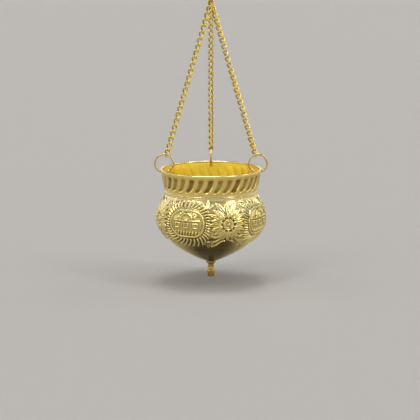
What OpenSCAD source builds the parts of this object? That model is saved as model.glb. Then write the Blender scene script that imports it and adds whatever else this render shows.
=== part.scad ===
// Hanging abhishekam vessel: a brass bowl with a drip spout, held by three curb chains.
// The origin is where the hook bears on its peg, +Z is up, +X is the right chain and +Y the rear one.

/* [Bowl] */
// Widest outside diameter of the bowl
bowl_d = 112.8; // [100:0.1:130]
// Drop from the centre of the rim bead to the widest part
belly_drop = 48.2; // [44:0.1:54]
// Drop from the centre of the rim bead to the flat seat of the spout
bowl_depth = 94.7; // [84:0.1:110]
// Wall of the bowl
bowl_wall = 1; // [0.8:0.1:1.6]
// Slope of the floor where it leaves the seat, in degrees
floor_slope = 23; // [16:1:28]
// Length of the floor's curve handle at the seat
floor_handle = 36; // [30:1:44]
// Length of the curve handle below the widest part
under_belly_handle = 17; // [14:1:26]
// Length of the curve handle above the widest part
over_belly_handle = 11; // [9:1:16]
// Length of the shoulder's curve handle at the waist
waist_handle = 7; // [3:0.5:8]
// Slope of the shoulder where it meets the waist, in degrees
waist_slope = 75; // [60:1:80]

/* [Neck] */
// Outside diameter of the rolled rim
rim_d = 103.8; // [98:0.1:112]
// Thickness of the rim bead
rim_bead = 2.2; // [1.8:0.1:2.8]
// Outside diameter of the neck at its foot
neck_foot_d = 95.2; // [94.4:0.1:99]
// Outside diameter of the bowl where it meets the joint band
waist_d = 93.4; // [88:0.1:94]
// Drop from the centre of the rim bead to the waist
waist_drop = 22.8; // [18:0.1:28]
// Outward lean of the neck at its foot, in degrees
neck_foot_lean = 13; // [8:1:18]
// Length of the neck's curve handle at its foot
neck_foot_handle = 5.5; // [4:0.5:8]
// Outward lean of the neck under the rim, in degrees
neck_rim_lean = 8; // [4:1:14]
// Length of the neck's curve handle under the rim
neck_rim_handle = 6.5; // [4:0.5:8]
// Wall of the neck
neck_wall = 1; // [0.8:0.1:1.4]
// Drop from the centre of the rim bead to the ring holes
hole_drop = 2.9; // [2.8:0.1:4]

/* [Joint band] */
// Height of the band that covers the seam
band_h = 3.6; // [2.4:0.1:5]
// Thickness of the band between its beads
band_t = 0.6; // [0.4:0.1:1]
// How far the beads stand out from the waist
band_bead_out = 0.7; // [0.4:0.1:0.9]

/* [Ornament] */
// Medallions round the bowl, with a flower after each
motifs = 4; // [3:1:4]
// How far the raised work stands out of the bowl
relief_h = 0.8; // [0.4:0.1:1]
// Turn of the first medallion from the front, in degrees
medallion_at = -27; // [-29:0.5:-25]
// Height of a medallion's middle above the widest part
medallion_rise = 0.5; // [-1:0.5:2]
// Half of the width of a medallion's ring
medallion_half_w = 20; // [17:0.5:21]
// Half of the height of a medallion's ring
medallion_half_h = 14.5; // [13.5:0.5:15.5]
// Width of the raised bands in a medallion
medallion_band = 2.2; // [1.6:0.1:2.6]
// Height of the niche's bar above the medallion's middle
bar_rise = 3.4; // [2:0.2:4]
// Length of the niche's bar
bar_l = 30; // [24:0.5:32]
// Outside radius of the niche's arch
arch_r = 8; // [7:0.2:8.6]
// Width of the square panel under the bar
panel_w = 5.5; // [4:0.5:7]
// Gap between the bar and the panel
panel_gap = 1.2; // [1:0.1:2]
// Turn of the first flower from the front, in degrees
flower_at = 18.5; // [16:0.5:19]
// Height of a flower's middle above the widest part
flower_rise = 0.5; // [-2:0.5:2]
// Petals of a flower
petals = 10; // [6:1:12]
// Reach of a flower to each side
flower_side = 18.5; // [15:0.5:19]
// Reach of a flower downwards
flower_down = 17.5; // [14:0.5:20]
// Gap between a flower's top petal and the waist
petal_top_gap = 3.4; // [2:0.2:6]
// Radius of a flower's boss
boss_r = 5; // [4:0.2:6]
// Gap between the boss and the petals
petal_gap = 1; // [0.6:0.1:1.5]
// Width of a petal for each millimetre of its length
petal_share = 0.42; // [0.3:0.01:0.46]

/* [Spout] */
// Diameter of the drip bore
bore_d = 4; // [3:0.1:5]
// Wall of the shank that passes through the bowl
shank_wall = 1.2; // [1:0.1:1.6]
// Length of shank that stands out of the nut
shank_proud = 1; // [0.5:0.1:3]
// How far the flange reaches past the shank
flange_lip = 1.95; // [1.6:0.05:2.6]
// Thickness of the flange
flange_t = 2.8; // [2:0.1:3.2]
// Wall at the narrow waist of the spout
spout_waist_wall = 0.9; // [0.7:0.1:1.2]
// Length from the flange to the waist of the spout
cove_l = 3.5; // [2:0.1:6]
// Length from the waist of the spout to its lower bead
flare_l = 5; // [3:0.1:8]
// Diameter of the lower bead
drip_bead_d = 9.5; // [8.4:0.1:12]
// Height of the lower bead
drip_bead_h = 1.6; // [1:0.1:2]
// Diameter of the groove under the lower bead
groove_d = 6.4; // [6.2:0.1:7]
// Height of the groove
groove_h = 0.8; // [0.4:0.1:1.5]
// Diameter of the tip
tip_d = 7; // [6.4:0.1:8]
// Length of the tip
tip_l = 3.1; // [2:0.1:6]
// Wall of the nut across its flats
nut_wall = 1.3; // [1:0.1:2]
// Height of the nut
nut_h = 3; // [2:0.1:4]
// Thickness of the sealing washer
seal_t = 1; // [0.5:0.1:2]

/* [Chains] */
// Links in each chain
links = 25; // [20:1:30]
// Wire of a link
link_wire = 1.7; // [1.4:0.05:1.9]
// Length inside a link
link_in_l = 6.7; // [6.4:0.05:7.4]
// Half of the twist between the two ends of a link, in degrees
link_twist = 45; // [40:1:45]
// Turn of the left chain's links from facing the front, in degrees
left_turn = -35; // [-50:1:-32]
// Turn of the right chain's links from facing the front, in degrees
right_turn = -42; // [-50:1:-35]
// Turn of the rear chain's first link, in degrees
rear_turn_top = -35; // [-45:1:-30]
// Turn of the rear chain's last link, in degrees
rear_turn_foot = 55; // [40:1:58]

/* [Rings] */
// Outside diameter of a rim ring
rim_ring_d = 20.7; // [19.5:0.1:24]
// Wire of a rim ring
rim_ring_wire = 2.1; // [1.8:0.1:2.4]
// Outside diameter of the hanging ring
hanging_ring_d = 32; // [30:0.1:40]
// Wire of the hanging ring
hanging_ring_wire = 2.1; // [1.8:0.1:2.6]

/* [Hook] */
// Wire of the hook
hook_wire = 3; // [2.5:0.1:4]
// Inside diameter of the hook's two bends
hook_bend_d = 10; // [9:0.1:14]
// Distance between the centres of the two bends
hook_span = 28; // [26:0.5:40]
// How far each bend runs on past half a turn, in degrees
hook_over = 20; // [0:1:30]
// Diameter of the balls at the hook's ends
hook_ball_d = 4; // [3.6:0.1:5]
// How much thinner the drawn shank is than the bends
hook_drawn = 0.2; // [0.15:0.01:0.4]
// How far the shank tucks into each bend
hook_tuck = 0.8; // [0.5:0.1:0.9]

/* [Fits] */
// Side play of the thickest wire inside a link
link_play = 0.4; // [0.35:0.05:0.5]
// Gap between neighbouring links
link_gap = 0.1; // [0.08:0.01:0.2]
// Gap between an end link and the ring it hangs on
ring_gap = 0.3; // [0.25:0.05:0.35]
// Gap along the hanging ring between the left and right chains' wires
seat_gap = 2; // [1.9:0.1:2.6]
// Gap along the hanging ring between the right and rear chains' wires
rear_seat_gap = 3.2; // [3.1:0.1:3.8]
// Gap between the hook and the hanging ring
hang_gap = 0.3; // [0.2:0.05:0.5]
// Gap between a rim ring and the rim bead inside it
lip_play = 0.3; // [0.2:0.05:0.5]
// Play of a rim ring in its hole
hole_play = 0.35; // [0.3:0.05:0.4]
// Gap at a brazed seam
braze_gap = 0.05; // [0.02:0.01:0.1]
// Gap between the shank and what it passes through
shank_gap = 0.05; // [0.02:0.01:0.15]
// Land of the sealing washer outside the nut's corners
seal_land = 0.3; // [0.2:0.1:1]
// Land of the bowl's flat seat outside the sealing washer
seat_land = 0.7; // [0.4:0.1:2]

/* [Hidden] */
$fn = 64;

// Colours
polished_brass = [0.85, 0.66, 0.25];
chain_brass = [0.74, 0.62, 0.28];
ring_brass = [0.80, 0.68, 0.42];
hook_brass = [0.70, 0.56, 0.26];
washer_red = [0.45, 0.22, 0.16];

// Faces of the links
run_sides = 6;
run_bend_steps = 4;
run_side_steps = 2;
end_sides = 8;
end_bend_steps = 8;
end_side_steps = 4;

// How far the lower bead's round stops short of its two flat faces, in degrees
bead_cut = 10;

// Steps of the profile curves
floor_steps = 14;
shoulder_steps = 8;
neck_steps = 8;
spout_steps = 6;

function unit(v) = v / norm(v);
function mix(a, b, t) = a + (b - a) * t;
function reversed(list) = [for (i = [len(list) - 1:-1:0]) list[i]];

// A cubic curve through the handles p, from step first to step n, set in towards the axis by inset
function bez(p, t) = pow(1 - t, 3) * p[0] + 3 * pow(1 - t, 2) * t * p[1]
    + 3 * (1 - t) * t * t * p[2] + pow(t, 3) * p[3];
function bez_dir(p, t) = unit(pow(1 - t, 2) * (p[1] - p[0]) + 2 * (1 - t) * t * (p[2] - p[1])
    + t * t * (p[3] - p[2]));
function curve(p, n, first = 0, inset = 0) = [
    for (i = [first:n]) let (t = i / n, d = bez_dir(p, t)) bez(p, t) + inset * [-d[1], d[0]]
];
function arc(centre, r, from, to, n) = [
    for (i = [0:n]) let (a = mix(from, to, i / n)) centre + r * [cos(a), sin(a)]
];

// The point to the left of the line p1 to p2 that lies r1 from p1 and r2 from p2
function left_meet(p1, r1, p2, r2) =
    let (d = norm(p2 - p1), e = (p2 - p1) / d, along = (r1 * r1 - r2 * r2 + d * d) / (2 * d))
    p1 + along * e + sqrt(r1 * r1 - along * along) * [-e[1], e[0]];

// Hook and hanging ring, down from the origin
hook_r = (hook_bend_d + hook_wire) / 2;
hook_top_z = -hook_bend_d / 2;
hook_low_z = hook_top_z - hook_span;
hook_lean = asin(2 * hook_r / hook_span);
hanging_r = (hanging_ring_d - hanging_ring_wire) / 2;
hanging_top_z = hook_low_z - hook_r + (hook_wire + hanging_ring_wire) / 2 + hang_gap;
hanging_z = hanging_top_z - hanging_r;

// Neck outline, with its heights counted from the centre of the rim bead
rim_bead_r = rim_d / 2 - rim_bead / 2;
neck_top_r = rim_d / 2 - rim_bead + neck_wall;
band_top = band_h - waist_drop;
neck_foot = [neck_foot_d / 2, band_top];
neck_top = [neck_top_r, 0];
neck_curve = [
    neck_foot,
    neck_foot + neck_foot_handle * [sin(neck_foot_lean), cos(neck_foot_lean)],
    neck_top - neck_rim_handle * [sin(neck_rim_lean), cos(neck_rim_lean)],
    neck_top
];

// Place of a rim ring: through its hole in the neck wall, and clear of the rim bead inside it
rim_ring_r = (rim_ring_d - rim_ring_wire) / 2;
hole_r = neck_top_r - neck_wall;
ring_eye = left_meet(
    [hole_r, -hole_drop], rim_ring_r,
    [rim_bead_r, 0], rim_ring_r - rim_ring_wire / 2 - rim_bead / 2 - lip_play
);

// Length of a chain between the ring wires
link_in_w = max(link_wire, rim_ring_wire, hanging_ring_wire) + 2 * link_play;
chain_l = links * link_in_l - (links - 1) * link_gap
    - hanging_ring_wire / 2 - rim_ring_wire / 2 - 2 * ring_gap;

// Where each chain hangs on the ring's wire, centred along the ring
left_step = link_wire + seat_gap;
rear_step = link_wire + rear_seat_gap;
function seat(y) = [0, y, hanging_z - sqrt(hanging_r * hanging_r - y * y)];
left_seat = seat(-(left_step + rear_step) / 2);
right_seat = seat((left_step - rear_step) / 2);
rear_seat = seat((left_step + rear_step) / 2);

// Height of the rim rings' centres, which the tightest chain sets
left_eye_xy = [-ring_eye[0], 0];
right_eye_xy = [ring_eye[0], 0];
rear_eye_xy = [0, ring_eye[0]];
function hung_z(seat, eye_xy) =
    seat[2] - sqrt(pow(chain_l + rim_ring_r, 2) - pow(norm(eye_xy - [seat[0], seat[1]]), 2));
eye_z = max(
    hung_z(left_seat, left_eye_xy), hung_z(right_seat, right_eye_xy), hung_z(rear_seat, rear_eye_xy)
);
rim_z = eye_z - ring_eye[1];
left_eye = concat(left_eye_xy, [eye_z]);
right_eye = concat(right_eye_xy, [eye_z]);
rear_eye = concat(rear_eye_xy, [eye_z]);

// The run of each chain: its top and foot on the ring wires, and the turn of its first and last link.
// The rim ring lies across the unit vector axis.
function run(top, eye, axis, turn_top, turn_foot) =
    let (pull = top - eye, in_plane = pull - (pull * axis) * axis)
    [top, eye + rim_ring_r * unit(in_plane), turn_top, turn_foot];
left_run = run(left_seat, left_eye, [0, 1, 0], left_turn, left_turn);
right_run = run(right_seat, right_eye, [0, 1, 0], right_turn, right_turn);
rear_run = run(rear_seat, rear_eye, [1, 0, 0], rear_turn_top, rear_turn_foot);

// Bowl outline, with its heights counted from the centre of the rim bead
shank_d = bore_d + 2 * shank_wall;
nut_af = shank_d + 2 * nut_wall;
seal_d = nut_af / cos(30) + 2 * seal_land;
seat_r = seal_d / 2 + seat_land;
belly = [bowl_d / 2, -belly_drop];
waist = [waist_d / 2, -waist_drop];
floor_curve = [
    [seat_r, -bowl_depth],
    [seat_r, -bowl_depth] + floor_handle * [cos(floor_slope), sin(floor_slope)],
    belly - [0, under_belly_handle],
    belly
];
shoulder_curve = [
    belly,
    belly + [0, over_belly_handle],
    waist + waist_handle * [cos(waist_slope), -sin(waist_slope)],
    waist
];
lip_r = waist_d / 2 - band_t - braze_gap;
seam = -waist_drop + band_h / 2;

// Reach of a flower along the angle a, with its top petal stopping short of the waist
flower_up = belly_drop - waist_drop - flower_rise - petal_top_gap;
function flower_reach(a) =
    1 / norm([cos(a) / flower_side, sin(a) / (sin(a) > 0 ? flower_up : flower_down)]);

// Spout heights, down from the seat
seat_z = rim_z - bowl_depth;
flange_z = -flange_t;
spout_waist_z = flange_z - cove_l;
drip_bead_z = spout_waist_z - flare_l;
groove_z = drip_bead_z - drip_bead_h;
tip_z = groove_z - groove_h;
spout_end_z = tip_z - tip_l;
shank_top_z = bowl_wall + seal_t + nut_h + shank_proud;

// Path of a link: stations of [across, up, outward across, outward up] round a straight-sided loop
function half_loop(a, s, side_steps, bend_steps) = concat(
    [for (i = [0:side_steps - 1]) [a, mix(-s / 2, s / 2, i / side_steps), 1, 0]],
    [
        for (i = [0:bend_steps - 1])
            let (q = 180 * i / bend_steps) [a * cos(q), s / 2 + a * sin(q), cos(q), sin(q)]
    ]
);
function loop(a, s, side_steps, bend_steps) =
    let (half = half_loop(a, s, side_steps, bend_steps)) concat(half, -half);

// A closed tube round the points, with its section set by the outward directions
function tube_points(points, outward, r, sides) = let (n = len(points)) [
    for (i = [0:n - 1])
        let (
            t = unit(points[(i + 1) % n] - points[(i + n - 1) % n]),
            out = unit(outward[i] - (outward[i] * t) * t),
            side = cross(t, out)
        )
        for (j = [0:sides - 1])
            let (w = 360 * j / sides) points[i] + r * (cos(w) * out + sin(w) * side)
];
function tube_faces(n, sides) = [
    for (i = [0:n - 1], j = [0:sides - 1])
        let (
            a = i * sides + j,
            b = i * sides + (j + 1) % sides,
            c = ((i + 1) % n) * sides + (j + 1) % sides,
            d = ((i + 1) % n) * sides + j
        )
        for (face = [[a, c, b], [a, d, c]]) face
];

// One twisted link about its centre, along the unit vector up, with its middle facing along wide
module link(centre, up, wide, sides, side_steps, bend_steps) {
    a = (link_in_w + link_wire) / 2;
    s = link_in_l - link_in_w;
    stations = loop(a, s, side_steps, bend_steps);
    deep = cross(up, wide);
    turns = [for (p = stations) link_twist * sin(90 * p[1] / (s / 2 + a))];
    across = [for (q = turns) cos(q) * wide + sin(q) * deep];
    points = [for (i = [0:len(stations) - 1]) centre + stations[i][0] * across[i] + stations[i][1] * up];
    outward = [for (i = [0:len(stations) - 1]) stations[i][2] * across[i] + stations[i][3] * up];
    polyhedron(tube_points(points, outward, link_wire / 2, sides), tube_faces(len(points), sides));
}

// Links first to last of a run, evenly spread between the ring wires
module chain_links(run, first, last, sides, side_steps, bend_steps) {
    up = unit(run[0] - run[1]);
    top = run[0] + (hanging_ring_wire / 2 + ring_gap - link_in_l / 2) * up;
    foot = run[1] - (rim_ring_wire / 2 + ring_gap - link_in_l / 2) * up;
    front = unit(cross([0, 1, 0], up));
    deep = cross(up, front);
    for (i = [first:last]) {
        t = i / (links - 1);
        turn = mix(run[2], run[3], t);
        wide = cos(turn) * front + sin(turn) * deep;
        link(mix(top, foot, t), up, wide, sides, side_steps, bend_steps);
    }
}

module end_link(run, i) {
    chain_links(run, i, i, end_sides, end_side_steps, end_bend_steps);
}

module middle_links(run) {
    chain_links(run, 1, links - 2, run_sides, run_side_steps, run_bend_steps);
}

// A wire ring in the XY plane, through the angle given
module wire_ring(r, wire, angle = 360) {
    rotate_extrude(angle = angle) translate([r, 0]) circle(d = wire);
}

// One bend of the hook, from the shank round to its ball end
module hook_bend() {
    sweep = 180 + hook_over + hook_lean;
    rotate([90, 0, 0]) {
        rotate([0, 0, -hook_lean]) wire_ring(hook_r, hook_wire, sweep);
        rotate([0, 0, 180 + hook_over]) translate([hook_r, 0, 0]) sphere(d = hook_ball_d);
    }
}

module hook() {
    shank_l = sqrt(hook_span * hook_span - 4 * hook_r * hook_r);
    middle = (hook_top_z + hook_low_z) / 2;
    color(hook_brass) {
        translate([0, 0, hook_top_z]) hook_bend();
        translate([0, 0, hook_low_z]) rotate([0, 180, 0]) hook_bend();
        translate([0, 0, middle]) rotate([0, hook_lean, 0])
            cylinder(d = hook_wire - hook_drawn, h = shank_l + 2 * hook_tuck, center = true);
    }
}

module hanging_ring() {
    color(ring_brass) translate([0, 0, hanging_z]) rotate([0, 90, 0])
        wire_ring(hanging_r, hanging_ring_wire);
}

module left_chain_top_link() { color(chain_brass) end_link(left_run, 0); }
module left_chain() { color(chain_brass) middle_links(left_run); }
module left_chain_bottom_link() { color(chain_brass) end_link(left_run, links - 1); }
module left_rim_ring() {
    color(ring_brass) translate(left_eye) rotate([90, 0, 0]) wire_ring(rim_ring_r, rim_ring_wire);
}

module right_chain_top_link() { color(chain_brass) end_link(right_run, 0); }
module right_chain() { color(chain_brass) middle_links(right_run); }
module right_chain_bottom_link() { color(chain_brass) end_link(right_run, links - 1); }
module right_rim_ring() {
    color(ring_brass) translate(right_eye) rotate([90, 0, 0]) wire_ring(rim_ring_r, rim_ring_wire);
}

module rear_chain_top_link() { color(chain_brass) end_link(rear_run, 0); }
module rear_chain() { color(chain_brass) middle_links(rear_run); }
module rear_chain_bottom_link() { color(chain_brass) end_link(rear_run, links - 1); }
module rear_rim_ring() {
    color(ring_brass) translate(rear_eye) rotate([0, 90, 0]) wire_ring(rim_ring_r, rim_ring_wire);
}

// A round-ended oval
module oval(half_w, half_h) {
    side = half_w - half_h;
    square([2 * side, 2 * half_h], center = true);
    for (x = [-side, side]) translate([x, 0]) circle(r = half_h);
}

// A pointed leaf along +X from the origin, between two arcs
module leaf(length, width) {
    r = (length * length + width * width) / (4 * width);
    translate([length / 2, 0]) intersection() {
        translate([0, r - width / 2]) circle(r = r);
        translate([0, width / 2 - r]) circle(r = r);
    }
}

// A ring round a niche: an arch on a bar, with a square panel below
module medallion_outline() {
    difference() {
        oval(medallion_half_w, medallion_half_h);
        oval(medallion_half_w - medallion_band, medallion_half_h - medallion_band);
    }
    translate([0, bar_rise]) {
        difference() {
            circle(r = arch_r);
            circle(r = arch_r - medallion_band);
            translate([-arch_r, -2 * arch_r]) square(2 * arch_r);
        }
        square([bar_l, medallion_band], center = true);
        translate([0, -(medallion_band + panel_w) / 2 - panel_gap]) square(panel_w, center = true);
    }
}

// A boss in a ring of petals
module flower_outline() {
    circle(r = boss_r);
    for (i = [0:petals - 1]) {
        angle = 90 + 360 * i / petals;
        length = flower_reach(angle) - boss_r - petal_gap;
        rotate(angle) translate([boss_r + petal_gap, 0]) leaf(length, petal_share * length);
    }
}

// An outline raised on the bowl, at a turn from the front and a rise from the belly: it is pushed out
// through the wall and cut to a skin that stands out of the bowl and is rooted in the wall
module raised(turn, rise) {
    skin = concat(
        curve(floor_curve, floor_steps, inset = -relief_h),
        curve(shoulder_curve, shoulder_steps, first = 1, inset = -relief_h)
    );
    root = concat(
        curve(floor_curve, floor_steps / 2, inset = bowl_wall / 2),
        curve(shoulder_curve, shoulder_steps / 2, first = 1, inset = bowl_wall / 2)
    );
    intersection() {
        rotate_extrude() polygon(concat(skin, reversed(root)));
        rotate([0, 0, turn]) translate([0, -bowl_d / 4, rise - belly_drop]) rotate([90, 0, 0])
            linear_extrude(bowl_d / 2) children();
    }
}

// The raised work round the bowl
module ornament() {
    for (i = [0:motifs - 1]) {
        raised(medallion_at + 360 * i / motifs, medallion_rise) medallion_outline();
        raised(flower_at + 360 * i / motifs, flower_rise) flower_outline();
    }
}

// The spun bowl: a flat seat, a low floor, a full belly and a lip that stands inside the band
module bowl() {
    outer = concat(curve(floor_curve, floor_steps), curve(shoulder_curve, shoulder_steps, first = 1));
    inner = concat(
        curve(floor_curve, floor_steps, first = 1, inset = bowl_wall),
        curve(shoulder_curve, shoulder_steps, first = 1, inset = bowl_wall)
    );
    shoulder_end = inner[len(inner) - 1];
    hole = shank_d / 2 + shank_gap;
    lip = [
        [lip_r, -waist_drop],
        [lip_r, seam - braze_gap / 2],
        [lip_r - bowl_wall, seam - braze_gap / 2],
        [lip_r - bowl_wall, shoulder_end[1]]
    ];
    floor_inside = [
        [seat_r - bowl_wall * tan(floor_slope / 2), bowl_wall - bowl_depth],
        [hole, bowl_wall - bowl_depth],
        [hole, -bowl_depth]
    ];
    color(polished_brass) translate([0, 0, rim_z]) {
        rotate_extrude() polygon(concat(outer, lip, reversed(inner), floor_inside));
        ornament();
    }
}

// The flared neck with its rolled rim, its lip inside the band and its three ring holes
module neck_collar() {
    outer = curve(neck_curve, neck_steps);
    inner = curve(neck_curve, neck_steps, inset = neck_wall);
    lip = [
        [lip_r - neck_wall, inner[0][1]],
        [lip_r - neck_wall, seam + braze_gap / 2],
        [lip_r, seam + braze_gap / 2],
        [lip_r, band_top]
    ];
    hole_d = rim_ring_wire + 2 * hole_play;
    color(polished_brass) translate([0, 0, rim_z]) difference() {
        union() {
            rotate_extrude() polygon(concat(outer, reversed(inner), lip));
            wire_ring(rim_bead_r, rim_bead);
        }
        for (azimuth = [0, 90, 180])
            rotate([0, 0, azimuth]) translate([lip_r, 0, -hole_drop]) rotate([0, 90, 0])
                cylinder(d = hole_d, h = rim_d / 2 - lip_r);
    }
}

// The band round the seam, with two beads that fill its height
module joint_band() {
    bead_d = band_h / 2;
    color(polished_brass) translate([0, 0, rim_z - waist_drop]) rotate_extrude() {
        translate([waist_d / 2 - band_t, 0]) square([band_t, band_h]);
        for (middle = [bead_d / 2, band_h - bead_d / 2])
            intersection() {
                translate([waist_d / 2 + band_bead_out - bead_d / 2, middle]) circle(d = bead_d);
                translate([waist_d / 2 - band_t / 2, 0]) square([bead_d, band_h]);
            }
    }
}

// The turned spout: shank, round flange, waist, flare, lower bead, groove and tip
module spout() {
    flange_r = shank_d / 2 + flange_lip;
    waist_r = bore_d / 2 + spout_waist_wall;
    cove_r = flange_r - flange_t / 2;
    bead_r = drip_bead_h / 2;
    bead_in_r = drip_bead_d / 2 - bead_r;
    chamfer = shank_wall / 3;
    round = tip_d / 2 - groove_d / 2;
    cove = [
        [cove_r, flange_z],
        [waist_r, flange_z],
        [waist_r, flange_z - cove_l / 2],
        [waist_r, spout_waist_z]
    ];
    flare = [
        [waist_r, spout_waist_z],
        [waist_r, spout_waist_z - flare_l / 2],
        [bead_in_r, drip_bead_z + flare_l / 3],
        [bead_in_r, drip_bead_z]
    ];
    outline = concat(
        [[bore_d / 2, shank_top_z], [shank_d / 2 - chamfer, shank_top_z]],
        [[shank_d / 2, shank_top_z - chamfer], [shank_d / 2, 0]],
        arc([cove_r, -flange_t / 2], flange_t / 2, 90, -90, 2 * spout_steps),
        curve(cove, spout_steps, first = 1),
        curve(flare, spout_steps, first = 1),
        arc([bead_in_r, drip_bead_z - bead_r], bead_r, 90 - bead_cut, bead_cut - 90, spout_steps),
        [[groove_d / 2, groove_z], [groove_d / 2, tip_z], [tip_d / 2, tip_z]],
        arc([tip_d / 2 - round, spout_end_z + round], round, 0, -90, spout_steps),
        [[bore_d / 2, spout_end_z]]
    );
    color(polished_brass) translate([0, 0, seat_z]) rotate_extrude() polygon(outline);
}

// The sealing washer between the bowl's floor and the nut
module spout_seal() {
    inside = shank_d / 2 + shank_gap;
    color(washer_red) translate([0, 0, seat_z + bowl_wall])
        rotate_extrude() translate([inside, 0]) square([seal_d / 2 - inside, seal_t]);
}

// The nut that draws the spout up against its seat
module spout_nut() {
    color(hook_brass) translate([0, 0, seat_z + bowl_wall + seal_t]) difference() {
        cylinder(d = nut_af / cos(30), h = nut_h, $fn = 6);
        cylinder(d = shank_d + 2 * shank_gap, h = 3 * nut_h, center = true);
    }
}

hook();
hanging_ring();
left_chain_top_link();
left_chain();
left_chain_bottom_link();
left_rim_ring();
right_chain_top_link();
right_chain();
right_chain_bottom_link();
right_rim_ring();
rear_chain_top_link();
rear_chain();
rear_chain_bottom_link();
rear_rim_ring();
bowl();
neck_collar();
joint_band();
spout();
spout_seal();
spout_nut();
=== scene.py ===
"""Looks of the hanging abhishekam vessel: chased brass bowl, fluted neck, curb chains, rings and hook.

Shapes are worked out in millimetres, in the part's own frame, and become metres in mesh_piece().
"""
import math

import bpy
import numpy as np
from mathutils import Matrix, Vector

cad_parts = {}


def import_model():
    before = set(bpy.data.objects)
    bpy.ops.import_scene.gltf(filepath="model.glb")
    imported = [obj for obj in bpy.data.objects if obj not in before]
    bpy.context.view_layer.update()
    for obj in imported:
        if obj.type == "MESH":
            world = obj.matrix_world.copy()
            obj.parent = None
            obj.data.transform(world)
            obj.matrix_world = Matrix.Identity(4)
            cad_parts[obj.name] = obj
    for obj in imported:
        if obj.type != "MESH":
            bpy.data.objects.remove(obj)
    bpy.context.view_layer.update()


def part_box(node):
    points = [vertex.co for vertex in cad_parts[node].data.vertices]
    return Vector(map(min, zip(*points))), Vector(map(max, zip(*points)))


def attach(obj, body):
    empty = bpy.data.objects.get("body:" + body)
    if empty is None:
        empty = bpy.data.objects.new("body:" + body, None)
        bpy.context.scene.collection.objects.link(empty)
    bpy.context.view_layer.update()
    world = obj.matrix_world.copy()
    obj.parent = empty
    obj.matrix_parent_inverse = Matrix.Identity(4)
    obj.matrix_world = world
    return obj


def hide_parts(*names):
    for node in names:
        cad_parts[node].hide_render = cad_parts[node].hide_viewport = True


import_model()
MM = 0.001

# Bowl and neck in millimetres, with drops below the middle of the rim, and slopes and leans in degrees
BOWL_D = 112.8
BOWL_DEPTH = 94.7
BOWL_WALL = 1.0
BELLY_DROP = 48.2
FLOOR_SLOPE = 23
FLOOR_HANDLE = 36
UNDER_BELLY_HANDLE = 17
OVER_BELLY_HANDLE = 11
WAIST_D = 93.4
WAIST_DROP = 22.8
WAIST_SLOPE = 75
WAIST_HANDLE = 7
RIM_D = 103.8
RIM_BEAD = 2.2
RIM_BEAD_START = -95
NECK_WALL = 1.0
NECK_FOOT_D = 95.2
NECK_FOOT_LEAN = 13
NECK_FOOT_HANDLE = 5.5
NECK_RIM_LEAN = 8
NECK_RIM_HANDLE = 6.5
HOLE_D = 2.8
HOLE_DROP = 2.9
HOLE_SIDES = ((-1, 0), (1, 0), (0, 1))
BAND_H = 3.6
BAND_T = 0.6
BAND_BEAD_OUT = 0.7
BAND_BEAD_ARC = 86
BRAZE_GAP = 0.05

# Spout, nut and washer
BORE_D = 4.0
SHANK_WALL = 1.2
SHANK_GAP = 0.05
FLANGE_LIP = 1.95
FLANGE_T = 2.8
SPOUT_WAIST_WALL = 0.9
COVE_L = 3.5
FLARE_L = 5.0
DRIP_BEAD_D = 9.5
DRIP_BEAD_H = 1.6
DRIP_BEAD_ARC = 80
GROOVE_D = 6.4
GROOVE_H = 0.8
TIP_D = 7.0
NUT_WALL = 1.3
NUT_CHAMFER = 0.6
NUT_COUNTERSINK = 0.3
SEAL_LAND = 0.3
SEAT_LAND = 0.7

# Chains, rings and hook
LINKS = 25
LINK_WIRE = 1.7
LINK_IN_L = 6.7
LINK_IN_W = 2.9
LINK_TWIST = 45
RING_WIRE = 2.1
RING_GAP = 0.3
RING_SEAM = 0.1
RING_END_EASE = 0.12
HOOK_WIRE = 3.0
HOOK_BEND_D = 10.0
HOOK_SPAN = 28.0
HOOK_OVER = 20
HOOK_BALL_D = 4.0
HOOK_DRAWN = 0.2
HOOK_DRAWN_FROM = -1.0
HOOK_DRAWN_FULL = 2.0

# Each chain: where it hangs along the hanging ring, the axis of its rim ring, and its links' turn
CHAINS = {
    "left": {"seat_y": -4.3, "ring_axis": (0, 1, 0), "turns": (-35, -35)},
    "right": {"seat_y": -0.6, "ring_axis": (0, 1, 0), "turns": (-42, -42)},
    "rear": {"seat_y": 4.3, "ring_axis": (1, 0, 0), "turns": (-35, 55)},
}

# Chased ornament: how high it stands over its ground, how far the ground is sunk, and where it ends
MOTIFS = 4
RELIEF = 1.45
GROUND = 0.65
RELIEF_TOP_DROP = 23.5
RELIEF_TOP_FADE = 1.2
RELIEF_FOOT_DROP = 79.0
RELIEF_FADE = 8.0

# Motifs: places in degrees from the front (AT) and above the widest part (RISE), heights as shares of the
# relief, and a rounded line's half width
LINE_HEIGHT = 0.95
LINE_HALF_W = 1.2
LEAF_EDGE = 0.3
LEAF_EDGE_HEIGHT = 0.3
LEAF_THINNEST = 0.1
RIB_HALF_W = 0.7
RIB_DEPTH = 0.5
# Shares of a leaf's length where its midrib starts and where it is at its full depth
RIB_SHARES = (0.15, 0.35)

MEDALLION_AT = -27.0
MEDALLION_RISE = 0.5
MEDALLION_HALF_W = 20.0
MEDALLION_HALF_H = 14.5
MEDALLION_BAND = 2.2
MEDALLION_BAND_HEIGHT = 0.75
MEDALLION_BAND_HALF_W = 1.5
BORDER_W = 5.5
BORDER_TOP = 8.5
BORDER_FOOT = 12.0
TEETH = 40
TOOTH_SLANT = 0.6
TOOTH_SLANT_FOOT = 2.0
TOOTH_CURVE = 1.5
TOOTH_END_SHARE = 0.2
TOOTH_SWELL = 0.3
TOOTH_ROUNDNESS = 0.7
TOOTH_ROOT = (0.08, 0.2)
TOOTH_TIP = (1, 0.7)

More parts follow.
